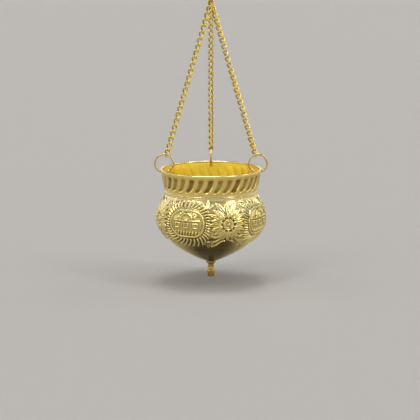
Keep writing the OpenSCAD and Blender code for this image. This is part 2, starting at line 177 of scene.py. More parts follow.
NICHE_SHARE = 0.8
NICHE_EDGE = 0.6
BAR_RISE = 3.4
BAR_L = 30.0
BAR_EDGE = 0.3
OVER_BAR = (-0.2, 0.4)
ARCH_R = 8.0
DOME_R = 2.4
DOME_HEIGHT = 0.7
FAN_SPOKES = 9
FAN_SPOKE_SHARE = 0.45
FAN_OUT = 1.8
FAN_HALF_W = 1.6
FAN_HEIGHT = 0.6
PANEL_W = 5.5
PANEL_GAP = 1.2
PANEL_PITCH = 10.2
PANEL_LINE_IN = 0.6
PANEL_LINE_HALF_W = 1.1
STUD_R = 1.4
STUD_HEIGHT = 0.6
LEAF_ROW_DROP = 9.8
LEAF_ROW_L = 32.0
LEAF_ROW_EDGE = 0.5
LEAF_ROW_HALF_H = 2.6
LEAF_ROW_HEIGHT = 1.1
LEAF_PITCH = 3.3
LEAF_LEAN = 0.45
LEAF_SHARE = 0.45

FLOWER_AT = 18.5
FLOWER_RISE = 0.5
FLOWER_SIDE = 18.5
FLOWER_DOWN = 17.5
PETALS = 10
PETAL_GAP = 1.0
PETAL_TOP_GAP = 3.4
PETAL_SHARE = 0.42
PETAL_CURL = 7
BEHIND_START = 1.15
BEHIND_REACH = 1.13
BEHIND_SHARE = 0.8 * PETAL_SHARE
BEHIND_HEIGHT = 0.85
BOSS_R = 5.0
BOSS_EDGE = 0.6
BOSS_HEIGHT = 0.25
BOSS_RING_HALF_W = 1.1
BUTTON_R = 2.4
BUTTON_HEIGHT = 0.6
BEADS_AT_R = 3.6
BEAD_R = 1.2
BEAD_HEIGHT = 0.85
# Each pair of drooping leaves: how far under the flower's middle it starts and its angle
DROOPS = ((10.0, -6), (14.0, -11), (18.0, -16))
DROOP_START = 1.5
DROOP_L = 17.0
DROOP_W = 2.3
DROOP_WAVE = 1.8
DROOP_HEIGHT = 0.95

SPRIG_AT = -3.5
SPRIG_TOP = 16.0
SPRIG_FOOT = -17.0
SPRIG_HEIGHT = 0.9
# Each leaf of a sprig: its angle and its length
SPRIG_LEAVES = ((90, 8.5), (35, 7.0), (145, 7.0))
SPRIG_SHARE = 0.45

# Flutes of the neck
FLUTES = 32
FLUTE_DEPTH = 1.3
FLUTE_LEAN = 8.5
FLUTE_CURVE = 2.2
FLUTE_FOOT = 0.8
FLUTE_HEAD = 1.8
FLUTE_HEAD_OVER = 0.6
FLUTE_HEAD_EASE = 4.0
FLUTE_LAND = 0.5
FLUTE_EDGE = 0.3
FLUTE_SIDE = 2.6
FLUTE_RISE = 0.45
FLUTE_THROUGH = 0.35
FLUTE_CONTRAST = 0.62
FLUTE_VARIETY = 0.4
FLUTE_RHYTHM = 2.1

# Patina in the relief's recesses, and polish on its high points that is also a painted highlight, from 0 to
# 1, and how steeply they follow the relief
PATINA = 2.5
PATINA_MOST = 0.9
POLISH_AND_HIGHLIGHT = 1.2
POLISH_AND_HIGHLIGHT_MOST = 0.8
POLISHED_CLEAR = 0.25
# Painted dark reflection low on the bowl, fading out towards its left and right sides, between two drops
# below the rim
UNDERSIDE_DARK_REFLECTION = 0.9
UNDERSIDE_REFLECTION_FADE = 0.95
UNDERSIDE_FADE_SIDES = (0.3, 0.8)
UNDERSIDE_TOP_DROP = 57.5
UNDERSIDE_DROP = 64.0
# Painted highlight on the bowl's shoulder, between two drops below the rim
SHOULDER_HIGHLIGHT = 0.55
SHOULDER_DROP = 32.0
SHOULDER_FOOT_DROP = 42.0
# Painted highlight on the rim's bead and the joint band
EDGE_HIGHLIGHT = 0.6
# Painted shade along the crevices at the waist, under the rim's bead and at the neck's foot: its strength,
# the share of its width where it is full, and its widths
CREVICE_SHADE = 0.5
CREVICE_CORE = 0.3
WAIST_CREVICE_W = 1.2
RIM_CREVICE_W = 1.5
NECK_FOOT_CREVICE_W = 1.0
# Painted shade round the rim rings' holes, and how far it reaches
HOLE_SHADE = 0.9
HOLE_SHADE_R = 2.4
# Painted shade on the inner side of each chain link's wire, and the range of inwardness over which it comes
# in
LINK_INNER_SHADE = 0.75
LINK_INWARD = (-0.3, 0.8)

# Fineness of the meshes, and how many points round each one its surroundings reach
COLUMNS = 720
RELIEF_STEP = 0.42
PLAIN_STEP = 2.0
BOWL_REACH = 4
FLOOR_POINTS = 400
SHOULDER_POINTS = 200
BOWL_INNER_ROWS = 36
NECK_COLUMNS = 640
NECK_ROWS = 56
NECK_REACH = 10
RIM_BEAD_ROWS = 22
DRILL_SIDES = 24
# The drill's corners are turned off the neck's grid lines, so that they don't meet at points
DRILL_CORNER = (0.07, 0.07, 1)
LINK_SIDES = 16
LINK_SIDE_POINTS = 10
LINK_BEND_POINTS = 16
RING_SIDES = 20
RING_POINTS = 118
# Steps along a ring from its end, in degrees: the eased end and the first plain section
RING_EASE_TURN = 0.5
RING_PLAIN_TURN = 2.0
HOOK_SIDES = 24
HOOK_BEND_POINTS = 44
# Points on each half of the hook's shank, the first of them this share of the way along
HOOK_SHANK_POINTS = 10
HOOK_SHANK_FIRST = 0.08
BALL_ROWS = 13
BALL_POLE = 0.15

_, NECK_HIGH = (np.array(c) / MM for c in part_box("neck_collar"))
SPOUT_LOW, SPOUT_HIGH = (np.array(c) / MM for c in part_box("spout"))
RIM_Z = NECK_HIGH[2] - RIM_BEAD / 2
SEAT_Z = RIM_Z - BOWL_DEPTH
NECK_FOOT_Z = BAND_H - WAIST_DROP
SHANK_D = BORE_D + 2 * SHANK_WALL
NUT_AF = SHANK_D + 2 * NUT_WALL
NUT_CORNER_R = NUT_AF / 2 / math.cos(math.radians(30))
SEAL_D = 2 * NUT_CORNER_R + 2 * SEAL_LAND
LIP_R = WAIST_D / 2 - BAND_T - BRAZE_GAP
SEAM = -WAIST_DROP + BAND_H / 2


def unit(v):
    return v / np.linalg.norm(v, axis=-1, keepdims=True)


def heading(angle):
    """The [across, up] direction at an angle in degrees from across."""
    return np.array([math.cos(math.radians(angle)), math.sin(math.radians(angle))])


def smooth(x, low, high):
    """0 at low and beyond, 1 at high and beyond, and a smooth step between. Low may be the greater one."""
    t = np.clip((x - low) / (high - low), 0, 1)
    return t * t * (3 - 2 * t)


def within(distance, limit, edge):
    """1 inside a limit and 0 outside it, with a soft edge."""
    return smooth(distance, limit + edge, limit - edge)


def ridge(distance, half_width):
    """A rounded ridge over a line: 1 on it, falling to 0 at half_width."""
    return 0.5 + 0.5 * np.cos(np.pi * np.clip(np.abs(distance) / half_width, 0, 1))


def bezier(handles, count):
    t = np.linspace(0, 1, count)[:, None]
    a, b, c, d = (np.array(p, float) for p in handles)
    return (1 - t) ** 3 * a + 3 * (1 - t) ** 2 * t * b + 3 * (1 - t) * t * t * c + t ** 3 * d


def arc(centre, radius, start, end, count):
    return np.array([centre + radius * heading(a) for a in np.linspace(start, end, count)])


def lengths(line):
    """Distance along a line of points, from its first point."""
    return np.concatenate([[0], np.cumsum(np.linalg.norm(np.diff(line, axis=0), axis=1))])


def resample(line, stations):
    s = lengths(line)
    return np.stack([np.interp(stations, s, line[:, k]) for k in range(line.shape[1])], 1)


def outward(line):
    """Unit normals of an outline that is drawn with its outside on the right."""
    tangent = unit(np.gradient(line, axis=0))
    return np.stack([tangent[:, 1], -tangent[:, 0]], 1)


# Meshes

def mesh_piece(name, points, faces, sharp=50):
    mesh = bpy.data.meshes.new(name)
    mesh.from_pydata((np.asarray(points) * MM).tolist(), [], faces)
    mesh.validate()
    mesh.shade_smooth()
    mesh.set_sharp_from_angle(angle=math.radians(sharp))
    piece = bpy.data.objects.new(name, mesh)
    bpy.context.scene.collection.objects.link(piece)
    return piece


def grid_faces(rows, columns, close_rows=True):
    """Quads on a grid of points that closes on itself along its columns, and along its rows if asked."""
    i, j = np.meshgrid(np.arange(rows if close_rows else rows - 1), np.arange(columns), indexing="ij")
    up, on = (i + 1) % rows, (j + 1) % columns
    quads = np.stack([i * columns + j, i * columns + on, up * columns + on, up * columns + j], -1)
    return quads.reshape(-1, 4).tolist()


def round_angles(columns):
    """Angles round the axis from the front, which is -Y, towards +X."""
    return 2 * np.pi * np.arange(columns) / columns


def turned(name, radius, height, sharp=50):
    """A closed turned piece from grids of radius and height, one row of them for each outline point."""
    radius, height = np.broadcast_arrays(radius, height)
    phi = round_angles(radius.shape[1])
    points = np.stack([radius * np.sin(phi), -radius * np.cos(phi), height], -1)
    return mesh_piece(name, points.reshape(-1, 3), grid_faces(*radius.shape), sharp)


def turned_outline(name, outline, z, columns, sharp=50):
    """A closed turned piece from an outline of [radius, height] points, at the height z."""
    grid = np.ones((1, columns))
    return turned(name, outline[:, :1] * grid, (z + outline[:, 1:]) * grid, sharp)


def tube(points, radius, out, sides, closed):
    """A tube through points, with a radius at each, and out the direction that its section starts from."""
    points, out = np.asarray(points, float), np.broadcast_to(out, np.shape(points))
    radius = np.broadcast_to(radius, len(points))
    if closed:
        tangent = unit(np.roll(points, -1, 0) - np.roll(points, 1, 0))
    else:
        tangent = unit(np.gradient(points, axis=0))
    out = unit(out - (out * tangent).sum(1, keepdims=True) * tangent)
    side = np.cross(tangent, out)
    w = 2 * np.pi * np.arange(sides) / sides
    spokes = np.cos(w)[None, :, None] * out[:, None] + np.sin(w)[None, :, None] * side[:, None]
    skin = points[:, None] + radius[:, None, None] * spokes
    faces = [f[::-1] for f in grid_faces(len(points), sides, closed)]
    if not closed:
        end = len(points) * sides
        faces += [list(range(sides)), list(range(end - 1, end - sides - 1, -1))]
    return skin.reshape(-1, 3), faces


def paint(piece, columns, outside, *ranges):
    """Gives a turned piece one material, and others on ranges: material, first face row, end face row."""
    piece.data.materials.append(outside)
    index = np.zeros(len(piece.data.polygons), np.int32)
    for k, (material, first_row, end_row) in enumerate(ranges, 1):
        piece.data.materials.append(material)
        index[first_row * columns:end_row * columns] = k
    piece.data.polygons.foreach_set("material_index", index)


def point_values(piece, name, values):
    """Gives each point of a piece a value that its material reads by name."""
    attribute = piece.data.attributes.new(name, "FLOAT", "POINT")
    attribute.data.foreach_set("value", np.asarray(values, np.float32).ravel())


def place(piece, body, slot, *nodes):
    """Puts a piece on its body, in place of the nodes. The slot is not used."""
    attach(piece, body)
    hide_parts(*nodes)


def shade(piece, material, body, slot, *nodes):
    """Gives a piece one material all over and places it."""
    piece.data.materials.append(material)
    place(piece, body, slot, *nodes)


# Materials: scales in features a metre, and the ranges of noise that become a full change

PATCH_SCALE = 55
PATCH_RANGE = (0.35, 0.65)
SPECK_SCALE = 260
SPECK_RANGE = (0.56, 0.8)
SPECK_MOST = 0.55
GRAIN_SCALE = 900
GRAIN_RANGE = (0.3, 0.7)
DENT_SCALE = 170
DENT_DEPTH = 0.4 * MM
RUBBER_SCALE = 1600
RUBBER_DENT = 0.4
RUBBER_DEPTH = 0.2 * MM
RUBBER_ROUGHNESS = (0.65, 0.85)


def node(tree, kind, **inputs):
    made = tree.nodes.new(kind)
    for key, value in inputs.items():
        made.inputs[key.replace("_", " ")].default_value = value
    return made


def noise(tree, coordinates, scale, detail=3.0, rough=0.55):
    made = node(tree, "ShaderNodeTexNoise", Scale=scale, Detail=detail, Roughness=rough)
    tree.links.new(coordinates, made.inputs["Vector"])
    return made.outputs["Fac"]


def ramp(tree, value, low, high, to_low=0.0, to_high=1.0):
    made = node(
        tree, "ShaderNodeMapRange", From_Min=low, From_Max=high, To_Min=to_low, To_Max=to_high
    )
    tree.links.new(value, made.inputs["Value"])
    return made.outputs["Result"]


def blend_colour(tree, factor, first, second):
    made = tree.nodes.new("ShaderNodeMix")
    made.data_type = "RGBA"
    tree.links.new(factor, made.inputs[0])
    for socket, colour in ((made.inputs[6], first), (made.inputs[7], second)):
        if hasattr(colour, "is_output"):
            tree.links.new(colour, socket)
        else:
            socket.default_value = (*colour, 1)
    return made.outputs[2]


def bumped(tree, surface, height, strength, depth):
    """Roughens a surface's normal by a height."""
    bump = node(tree, "ShaderNodeBump", Strength=strength, Distance=depth)
    tree.links.new(height, bump.inputs["Height"])
    tree.links.new(bump.outputs["Normal"], surface.inputs["Normal"])


def new_surface(name):
    """A material with its node tree, its surface node and the object's coordinates."""
    material = bpy.data.materials.new(name)
    material.use_nodes = True
    tree = material.node_tree
    where = tree.nodes.new("ShaderNodeTexCoord").outputs["Object"]
    return material, tree, tree.nodes["Principled BSDF"], where


def metal(name, colour, warm, tarnish, polish, dent, chased=()):
    """Brass whose tone drifts between colour and warm in soft patches, with fine polishing marks.

    Tarnish gathers in specks. Chased gives the tones for the piece's values of the same names.
    """
    material, tree, surface, where = new_surface(name)
    surface.inputs["Metallic"].default_value = 1.0
    patches = noise(tree, where, PATCH_SCALE)
    tone = blend_colour(tree, ramp(tree, patches, *PATCH_RANGE), colour, warm)
    specks = noise(tree, where, SPECK_SCALE, detail=5.0, rough=0.7)
    tone = blend_colour(tree, ramp(tree, specks, *SPECK_RANGE, 0.0, SPECK_MOST), tone, tarnish)
    for value_name, value_tone in chased:
        value = tree.nodes.new("ShaderNodeAttribute")
        value.attribute_name = value_name
        tone = blend_colour(tree, value.outputs["Fac"], tone, value_tone)
    tree.links.new(tone, surface.inputs["Base Color"])
    grain = noise(tree, where, GRAIN_SCALE, detail=4.0, rough=0.6)
    tree.links.new(ramp(tree, grain, *GRAIN_RANGE, *polish), surface.inputs["Roughness"])
    bumped(tree, surface, noise(tree, where, DENT_SCALE, detail=2.0), dent, DENT_DEPTH)
    return material


def rubber(name, dark, light):
    material, tree, surface, where = new_surface(name)
    grain = noise(tree, where, RUBBER_SCALE, detail=4.0)
    tree.links.new(blend_colour(tree, grain, dark, light), surface.inputs["Base Color"])
    tree.links.new(ramp(tree, grain, *GRAIN_RANGE, *RUBBER_ROUGHNESS), surface.inputs["Roughness"])
    bumped(tree, surface, grain, RUBBER_DENT, RUBBER_DEPTH)
    return material


DARK = (0.26, 0.17, 0.04)
# Chased tones: the dark one is patina in the relief's recesses and painted shade, the pale one polish and
# painted highlight; the same for the neck's brass
BODY = metal(
    "body_brass", (0.87, 0.69, 0.21), (0.84, 0.67, 0.23), DARK, polish=(0.15, 0.25), dent=0.10,
    chased=(("patina_and_shade", (0.09, 0.055, 0.008)), ("wear_and_highlight", (0.97, 0.86, 0.46))),
)
NECK = metal(
    "neck_brass", (0.89, 0.65, 0.16), (0.84, 0.61, 0.17), DARK, polish=(0.10, 0.18), dent=0.10,
    chased=(("patina_and_shade", (0.21, 0.12, 0.02)), ("wear_and_highlight", (0.97, 0.83, 0.40))),
)
# Brass of the inside, brighter and more saturated than the outside: painted light standing for the light
# bounced round inside the vessel. Its dark chased tone is painted shade round the rings' holes.
INSIDE_GLOW = metal(
    "inside_brass_painted_glow", (0.98, 0.75, 0.09), (0.96, 0.70, 0.07), (0.72, 0.47, 0.06), polish=(0.30, 0.42),
    dent=0.10, chased=(("patina_and_shade", (0.48, 0.26, 0.02)),),
)
# A darker copy of the brass for the spout and nut: painted shade standing for the dark surroundings they
# reflect
SPOUT_SHADED = metal(
    "spout_brass", (0.47, 0.32, 0.07), (0.43, 0.30, 0.09), (0.2, 0.12, 0.03), polish=(0.12, 0.24), dent=0.08
)
# The chain's dark chased tone is painted shade on the inner side of the links
CHAIN = metal(
    "chain_brass", (0.93, 0.74, 0.19), (0.87, 0.67, 0.16), DARK, polish=(0.18, 0.30), dent=0.12,
    chased=(("patina_and_shade", (0.20, 0.14, 0.04)),),
)
RING = metal(
    "ring_brass", (0.72, 0.58, 0.24), (0.66, 0.54, 0.25), (0.28, 0.20, 0.08), polish=(0.14, 0.24), dent=0.10
)
HOOK = metal(
    "hook_brass", (0.80, 0.60, 0.22), (0.76, 0.60, 0.27), (0.28, 0.19, 0.07), polish=(0.20, 0.34), dent=0.14
)
WASHER = rubber("washer_rubber", (0.2, 0.07, 0.05), (0.32, 0.13, 0.09))


# The chased ornament, as heights from 0 to about 1 where u is across from a motif's middle and v above it

def leaf(u, v, angle, start, length, width):
    """A pointed leaf from start along an angle: a vaulted blade with a sunk midrib."""
    step_u, step_v = heading(angle)
    along = u * step_u + v * step_v - start
    across = np.abs(v * step_u - u * step_v)
    r = (length ** 2 + width ** 2) / (4 * width)
    half = np.sqrt(np.clip(r ** 2 - (along - length / 2) ** 2, 0, None)) - r + width / 2
    vault = np.sqrt(np.clip(1 - (across / np.clip(half, LEAF_THINNEST, None)) ** 2, 0, 1))
    blade = LEAF_EDGE_HEIGHT + (1 - LEAF_EDGE_HEIGHT) * vault
    rib_start, rib_full = (share * length for share in RIB_SHARES)
    rib = RIB_DEPTH * ridge(across, RIB_HALF_W) * smooth(along, rib_start, rib_full)
    return smooth(half - across, -LEAF_EDGE, LEAF_EDGE) * blade * (1 - rib)


def oval_edge(u, v, half_w, half_h):
    """Distance outside a round-ended oval."""
    return np.hypot(np.clip(np.abs(u) - half_w + half_h, 0, None), v) - half_h


def border(u, v):
    """Curved teeth round a medallion's ring, longer and more slanted under it."""
    beyond = oval_edge(u, v, MEDALLION_HALF_W, MEDALLION_HALF_H)
    turn = np.arctan2(v / MEDALLION_HALF_H, u / MEDALLION_HALF_W)
    upright = np.sin(turn) ** 2
    wide = BORDER_W + (np.where(v > 0, BORDER_TOP, BORDER_FOOT) - BORDER_W) * upright
    slant = TOOTH_SLANT + (TOOTH_SLANT_FOOT - TOOTH_SLANT) * upright * (v < 0)
    t = np.clip(beyond / wide, 0, 1)
    spot = TEETH * turn / (2 * np.pi) + slant * t ** TOOTH_CURVE
    half = TOOTH_END_SHARE + TOOTH_SWELL * np.sin(np.pi * t) ** TOOTH_ROUNDNESS
    return ridge(spot - np.round(spot), half) * smooth(t, *TOOTH_ROOT) * smooth(t, *TOOTH_TIP)


def niche(u, v):
    """A bar with an arch and a fan over it, three panels under it, and a row of leaning leaves."""
    half_band = MEDALLION_BAND / 2
    up = v - BAR_RISE
    r = np.hypot(u, up)
    over_bar = smooth(up, *OVER_BAR)
    spoke = np.arctan2(up, u) * FAN_SPOKES / np.pi
    fan = ridge(spoke - np.round(spoke), FAN_SPOKE_SHARE) * ridge(r - ARCH_R - FAN_OUT, FAN_HALF_W)
    parts = [
        LINE_HEIGHT * ridge(r - ARCH_R + half_band, LINE_HALF_W) * over_bar,
        DOME_HEIGHT * ridge(r, DOME_R) * over_bar,
        FAN_HEIGHT * fan * over_bar,
        LINE_HEIGHT * ridge(up, LINE_HALF_W) * within(np.abs(u), BAR_L / 2, BAR_EDGE),
    ]
    panel_v = up + half_band + PANEL_GAP + PANEL_W / 2
    for panel_u in (-PANEL_PITCH, 0, PANEL_PITCH):
        edge = np.maximum(np.abs(u - panel_u), np.abs(panel_v)) - PANEL_W / 2
        parts.append(LINE_HEIGHT * ridge(edge + PANEL_LINE_IN, PANEL_LINE_HALF_W))
        parts.append(STUD_HEIGHT * ridge(np.hypot(u - panel_u, panel_v), STUD_R))
    row_v = v + LEAF_ROW_DROP
    row = (u - LEAF_LEAN * row_v) / LEAF_PITCH
    leaves = ridge(row - np.round(row), LEAF_SHARE) * np.sqrt(ridge(row_v, LEAF_ROW_HALF_H))
    parts.append(LEAF_ROW_HEIGHT * leaves * within(np.abs(u), LEAF_ROW_L / 2, LEAF_ROW_EDGE))
    return np.maximum.reduce(parts)


def medallion(u, v):
    """A banded ring with a niche inside and a toothed border outside."""
    beyond = oval_edge(u, v, MEDALLION_HALF_W, MEDALLION_HALF_H)
    band = MEDALLION_BAND_HEIGHT * ridge(beyond + MEDALLION_BAND / 2, MEDALLION_BAND_HALF_W)
    inside = smooth(beyond, -MEDALLION_BAND, -MEDALLION_BAND - NICHE_EDGE)
    return np.maximum.reduce([band, NICHE_SHARE * niche(u, v) * inside, border(u, v)])


def petal_reach(angle):
    """Reach of a flower along an angle, with its top petal stopping short of the waist."""
    across, up = heading(angle)
    up_reach = BELLY_DROP - WAIST_DROP - FLOWER_RISE - PETAL_TOP_GAP if up > 0 else FLOWER_DOWN
    return 1 / math.hypot(across / FLOWER_SIDE, up / up_reach)


def petals(u, v):
    """Two layers of petals, the upper ones curled sideways and the rear ones between the front ones."""
    curl = np.radians(PETAL_CURL) * 2 * u * np.clip(v, 0, None) / FLOWER_SIDE ** 2
    u, v = u * np.cos(curl) - v * np.sin(curl), u * np.sin(curl) + v * np.cos(curl)
    start = BOSS_R + PETAL_GAP
    behind_start = BEHIND_START * start
    parts = []
    for k in range(PETALS):
        front, behind = 90 + 360 * k / PETALS, 90 + 360 * (k + 0.5) / PETALS
        length = petal_reach(front) - start
        parts.append(leaf(u, v, front, start, length, PETAL_SHARE * length))
        further = BEHIND_REACH if heading(behind)[1] > 0 else 1
        length = further * petal_reach(behind) - behind_start
        parts.append(BEHIND_HEIGHT * leaf(u, v, behind, behind_start, length, BEHIND_SHARE * length))
    return parts


def flower(u, v):
    """A flower with two layers of petals, a beaded boss and drooping leaves under it."""
    parts = petals(u, v)
    wave = DROOP_WAVE * np.sin(2 * np.pi * np.clip(np.abs(u) / DROOP_L, 0, 1))
    for drop, angle in DROOPS:
        droop = leaf(np.abs(u), v + drop - wave, angle, DROOP_START, DROOP_L, DROOP_W)
        parts.append(DROOP_HEIGHT * droop)
    r = np.hypot(u, v)
    spot = np.arctan2(v, u) * PETALS / np.pi
    beside = (spot - np.round(spot)) * np.pi * r / PETALS
    parts += [
        BOSS_HEIGHT * smooth(r, BOSS_R, BOSS_R - BOSS_EDGE) + BUTTON_HEIGHT * ridge(r, BUTTON_R),
        BEAD_HEIGHT * ridge(np.hypot(beside, r - BEADS_AT_R), BEAD_R),
        LINE_HEIGHT * ridge(r - BOSS_R, BOSS_RING_HALF_W),
    ]
    return np.maximum.reduce(parts)


def sprig(u, v):
    """Three small leaves."""
    leaves = [leaf(u, v, angle, 0, length, SPRIG_SHARE * length) for angle, length in SPRIG_LEAVES]
    return SPRIG_HEIGHT * np.maximum.reduce(leaves)


def bowl_relief(v, radius):
    """Heights of the ornament on the rows at v above the widest part, all the way round."""
    span = 360 / MOTIFS
    phi = np.linspace(-span / 2, span / 2, COLUMNS // MOTIFS, endpoint=False)

    def beside(at):
        turn = (phi - at + span / 2) % span - span / 2
        return radius[:, None] * np.sin(np.radians(turn))[None, :]

    v = v[:, None]
    parts = [
        medallion(beside(MEDALLION_AT), v - MEDALLION_RISE),
        flower(beside(FLOWER_AT), v - FLOWER_RISE),
    ]
    for at in (SPRIG_AT, SPRIG_AT + span / 2):
        parts += [sprig(beside(at), v - SPRIG_TOP), sprig(beside(at), SPRIG_FOOT - v)]
    quarter = np.maximum.reduce(parts)
    return np.roll(np.tile(quarter, (1, MOTIFS)), -COLUMNS // MOTIFS // 2, axis=1)


def above_surroundings(height, reach):
    """How far each point of a relief stands above the mean of its surroundings."""
    mean = height
    for axis in (0, 1):
        mean = sum(np.roll(mean, k, axis) for k in range(-reach, reach + 1)) / (2 * reach + 1)
    return height - mean


def chased_values(piece, rows, relief, reach, dark, bright):
    """Gives the first rows of a turned piece its patina in the recesses and its polish, which is also a
    painted highlight, on the high points.

    Dark is painted shade on the plain ground, which the high points are kept free of,
    and bright is a painted highlight on the plain ground.
    """
    above = above_surroundings(relief, reach)
    patina_and_shade, wear_and_highlight = np.zeros((2, rows, relief.shape[1]))
    ground = dark * smooth(above, POLISHED_CLEAR, 0.0)
    # Patina in the relief's recesses, joined with the painted shade of the plain ground
    patina_and_shade[:len(relief)] = np.maximum(np.clip(-PATINA * above, 0, PATINA_MOST), ground)
    # Polish on the high points, which is also a painted highlight, over the plain ground's painted
    # highlight
    wear_and_highlight[:len(relief)] = np.clip(POLISH_AND_HIGHLIGHT * above + bright, 0, POLISH_AND_HIGHLIGHT_MOST)
    point_values(piece, "patina_and_shade", patina_and_shade)
    point_values(piece, "wear_and_highlight", wear_and_highlight)


def crevice(drop, at, wide):
    """Painted shade along a crevice, by the distance of each row from it."""
    return CREVICE_SHADE * smooth(np.abs(drop - at), wide, CREVICE_CORE * wide)


# The body

def bowl_line():
    """The plain outside of the bowl from its seat up to the waist."""
    seat = np.array([SEAL_D / 2 + SEAT_LAND, -BOWL_DEPTH])
    belly = np.array([BOWL_D / 2, -BELLY_DROP])
    waist = np.array([WAIST_D / 2, -WAIST_DROP])
    seat_handle = seat + FLOOR_HANDLE * heading(FLOOR_SLOPE)
    waist_handle = waist + WAIST_HANDLE * heading(-WAIST_SLOPE)
    floor_line = bezier([seat, seat_handle, belly - [0, UNDER_BELLY_HANDLE], belly], FLOOR_POINTS)
    shoulder = bezier([belly, belly + [0, OVER_BELLY_HANDLE], waist_handle, waist], SHOULDER_POINTS)
    return np.concatenate([floor_line, shoulder[1:]])


def bowl_tones(drop):
    """Painted shade and highlight of the bowl's plain ground, where the rows lie at drops below the rim: a
    painted dark reflection low on the bowl, strongest front and back and fading towards the left and right,
    painted shade along the waist's crevice, and a painted highlight on the shoulder.
    """
    sideways = np.abs(np.sin(round_angles(COLUMNS)))
    # Painted dark reflection low on the bowl, strongest front and back, fading towards the left and right
    side_fade = UNDERSIDE_REFLECTION_FADE * smooth(sideways, *UNDERSIDE_FADE_SIDES)
    underside_reflection = UNDERSIDE_DARK_REFLECTION * smooth(drop, UNDERSIDE_TOP_DROP, UNDERSIDE_DROP)
    dark = underside_reflection[:, None] * (1 - side_fade) + crevice(drop, WAIST_DROP, WAIST_CREVICE_W)[:, None]
    # Painted highlight on the shoulder
    bright = SHOULDER_HIGHLIGHT * smooth(drop, SHOULDER_FOOT_DROP, SHOULDER_DROP)[:, None]
    return dark, bright


def bowl():
    line = bowl_line()
    s = lengths(line)
    foot_s, top_s = (np.interp(-drop, line[:, 1], s) for drop in (RELIEF_FOOT_DROP, RELIEF_TOP_DROP))
    stations = np.concatenate([
        np.linspace(0, foot_s, int(foot_s / PLAIN_STEP), endpoint=False),
        np.linspace(foot_s, top_s, int((top_s - foot_s) / RELIEF_STEP), endpoint=False),
        np.linspace(top_s, s[-1], 3),
    ])
    outer = resample(line, stations)
    fade = smooth(stations, foot_s, foot_s + RELIEF_FADE) * smooth(stations, top_s, top_s - RELIEF_TOP_FADE)
    height = bowl_relief(outer[:, 1] + BELLY_DROP, outer[:, 0]) * fade[:, None]
    inner_stations = np.linspace(0, s[-1] - 2 * BOWL_WALL, BOWL_INNER_ROWS)
    inner = resample(line - BOWL_WALL * outward(line), inner_stations)
    hole, lip_top = SHANK_D / 2 + SHANK_GAP, SEAM - BRAZE_GAP / 2
    rest = np.concatenate([
        [[LIP_R, -WAIST_DROP], [LIP_R, lip_top]],
        [[LIP_R - BOWL_WALL, lip_top], [LIP_R - BOWL_WALL, inner[-1, 1]]],
        inner[::-1],
        [[hole, BOWL_WALL - BOWL_DEPTH], [hole, -BOWL_DEPTH]],
    ])
    out, grid = outward(outer), np.ones((1, COLUMNS))
    lift = RELIEF * height - GROUND * fade[:, None]
    radius = np.concatenate([outer[:, :1] + lift * out[:, :1], rest[:, :1] * grid])
    z = RIM_Z + np.concatenate([outer[:, 1:] + lift * out[:, 1:], rest[:, 1:] * grid])
    piece = turned("chased_bowl", radius, z, sharp=75)
    chased_values(piece, len(radius), height, BOWL_REACH, *bowl_tones(-outer[:, 1]))
    paint(piece, COLUMNS, BODY, (INSIDE_GLOW, len(outer), len(radius) - 2))
    place(piece, "vessel", "body_brass", "bowl")


def scoops(height, phi):
    """Depths from 0 to 1 of the neck's flutes, on rows of heights and at angles phi."""
    up = (height - NECK_FOOT_Z)[:, None]
    reach = -NECK_FOOT_Z - FLUTE_HEAD
    lean = -FLUTE_LEAN * (1 - np.clip(up / reach, 0, 1)) ** FLUTE_CURVE
    spot = FLUTES * (phi[None, :] - lean / (RIM_D / 2)) / (2 * np.pi)
    pitch = np.pi * NECK_FOOT_D / FLUTES
    half = pitch / 2 - FLUTE_LAND
    flute = np.round(spot) % FLUTES
    off = (spot - np.round(spot)) * pitch
    # How far inside the edge of its scoop each point lies: straight sides and a round foot
    inside = half - np.hypot(off, np.clip(half - (up - FLUTE_FOOT), 0, None))
    depth = 1 - FLUTE_VARIETY * np.sin(FLUTE_RHYTHM * flute) ** 2
    head = smooth(up, reach + FLUTE_HEAD_OVER, reach - FLUTE_HEAD_EASE)
    return depth * smooth(inside, -FLUTE_EDGE, FLUTE_SIDE) * head


def neck_line():
    """The plain outside of the neck from its foot up to the rim's bead."""
    foot = np.array([NECK_FOOT_D / 2, NECK_FOOT_Z])
    top = np.array([RIM_D / 2 - RIM_BEAD + NECK_WALL, 0.0])
    foot_handle = foot + NECK_FOOT_HANDLE * heading(90 - NECK_FOOT_LEAN)
    top_handle = top - NECK_RIM_HANDLE * heading(90 - NECK_RIM_LEAN)
    line = bezier([foot, foot_handle, top_handle, top], NECK_ROWS)
    line[-1, 1] -= RIM_BEAD / 2
    return line


